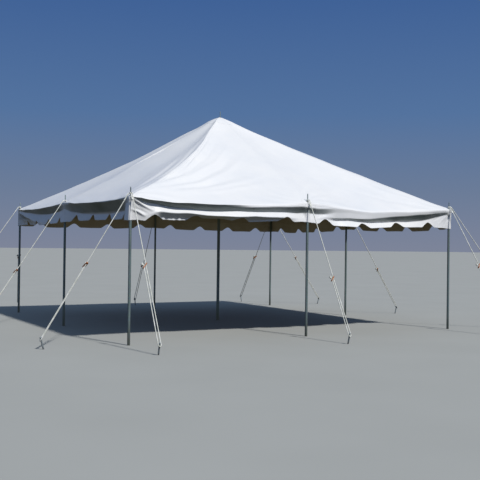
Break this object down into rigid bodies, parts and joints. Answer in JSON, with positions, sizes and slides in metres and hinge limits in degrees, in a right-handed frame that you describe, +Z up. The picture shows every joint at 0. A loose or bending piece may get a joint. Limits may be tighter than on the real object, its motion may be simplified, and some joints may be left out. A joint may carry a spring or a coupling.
{
  "type": "marquee tent",
  "caption": "Square white pole tent with one peak and a scalloped valance, held by a centre pole, side poles, guy ropes with wooden runners, and ground stakes.",
  "frame": {"origin": "on the ground under the centre pole, at the middle of the tent", "axes": "+Z up, -Y towards the front side, +X to the right of it; the four sides are square to X and Y"},
  "size_m": [9.0152, 9.0152, 4.03],
  "materials": {
    "canopy": "white coated cloth, satin",
    "pole": "galvanised, dull",
    "rope": "laid rope, weathered white",
    "runner": "varnished",
    "stake": "bare steel, weathered dull grey"
  },
  "bodies": {
    "root": {"back_left_pole": "pole", "back_pole": "pole", "back_right_pole": "pole", "back_roof_panel": "canopy", "back_rope_left": "rope", "back_rope_middle": "rope", "back_rope_right": "rope", "back_runner_left": "runner", "back_runner_middle": "runner", "back_runner_right": "runner", "back_stake_left": "stake", "back_stake_middle": "stake", "back_stake_right": "stake", "back_valance": "canopy", "centre_pole": "pole", "front_left_pole": "pole", "front_pole": "pole", "front_right_pole": "pole", "front_roof_panel": "canopy", "front_rope_left": "rope", "front_rope_middle": "rope", "front_rope_right": "rope", "front_runner_left": "runner", "front_runner_middle": "runner", "front_runner_right": "runner", "front_stake_left": "stake", "front_stake_middle": "stake", "front_stake_right": "stake", "front_valance": "canopy", "left_pole": "pole", "left_roof_panel": "canopy", "left_rope_left": "rope", "left_rope_middle": "rope", "left_rope_right": "rope", "left_runner_left": "runner", "left_runner_middle": "runner", "left_runner_right": "runner", "left_stake_left": "stake", "left_stake_middle": "stake", "left_stake_right": "stake", "left_valance": "canopy", "right_pole": "pole", "right_roof_panel": "canopy", "right_rope_left": "rope", "right_rope_middle": "rope", "right_rope_right": "rope", "right_runner_left": "runner", "right_runner_middle": "runner", "right_runner_right": "runner", "right_stake_left": "stake", "right_stake_middle": "stake", "right_stake_right": "stake", "right_valance": "canopy"}
  },
  "joints": []
}
